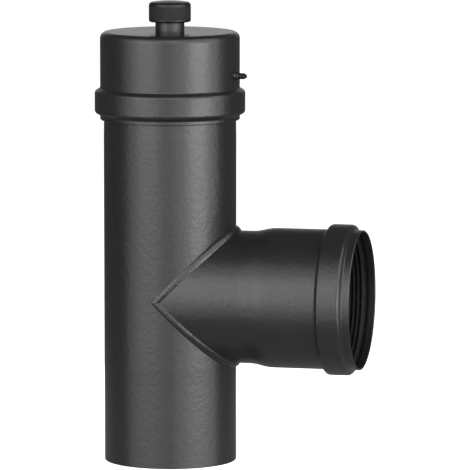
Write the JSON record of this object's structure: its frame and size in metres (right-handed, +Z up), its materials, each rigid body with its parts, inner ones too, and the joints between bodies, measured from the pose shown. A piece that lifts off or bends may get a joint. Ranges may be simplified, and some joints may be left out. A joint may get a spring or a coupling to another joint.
{
  "type": "stove flue tee with inspection cap and condensate drain",
  "caption": "Black enamelled steel flue tee with a mitred socket branch, a pull-off inspection cap on top and a screwed condensate drain.",
  "frame": {"origin": "on the run's axis at its lower end", "axes": "+Z up along the run towards the inspection cap, +X along the branch towards its mouth"},
  "size_m": [0.1639, 0.0908, 0.2789],
  "materials": {
    "flue_enamel": "satin black enamel",
    "weld_enamel": "enamelled weld",
    "seal_silicone": "matt black silicone",
    "stub_steel": "satin black paint",
    "washer_rubber": "matt",
    "cap_plastic": "moulded, fine grain",
    "screw_black": "black oxide"
  },
  "bodies": {
    "tee": {"run_tube": "flue_enamel", "branch_pipe": "flue_enamel", "branch_weld": "weld_enamel", "branch_seal": "seal_silicone"},
    "cap": {"cap_shell": "flue_enamel", "cap_seal": "seal_silicone", "drain_stub": "stub_steel", "lock_boss": "stub_steel"},
    "washer": {"drain_washer": "washer_rubber"},
    "screw_cap": {"drain_cap": "cap_plastic"},
    "lock": {"lock_screw": "screw_black"}
  },
  "joints": [
    {"name": "cap_pull", "type": "slide", "parent": "tee", "child": "cap", "axis": [0, 0, 1], "range_m": [0, 0.055]},
    {"name": "drain_lift", "type": "slide", "parent": "cap", "child": "washer", "axis": [0, 0, 1], "range_m": [0, 0.00938]},
    {"name": "drain_turn", "type": "hinge", "parent": "washer", "child": "screw_cap", "pos_m": [0, 0, 0.27], "axis": [0, 0, 1], "range_deg": [0, 2520]},
    {"name": "lock_travel", "type": "slide", "parent": "cap", "child": "lock", "axis": [0.9863, -0.165, 0], "range_m": [0, 0.003]}
  ],
  "couplings": [
    {"joint": "drain_lift", "follows": "drain_turn", "m_per_rad": 0.00021277}
  ]
}
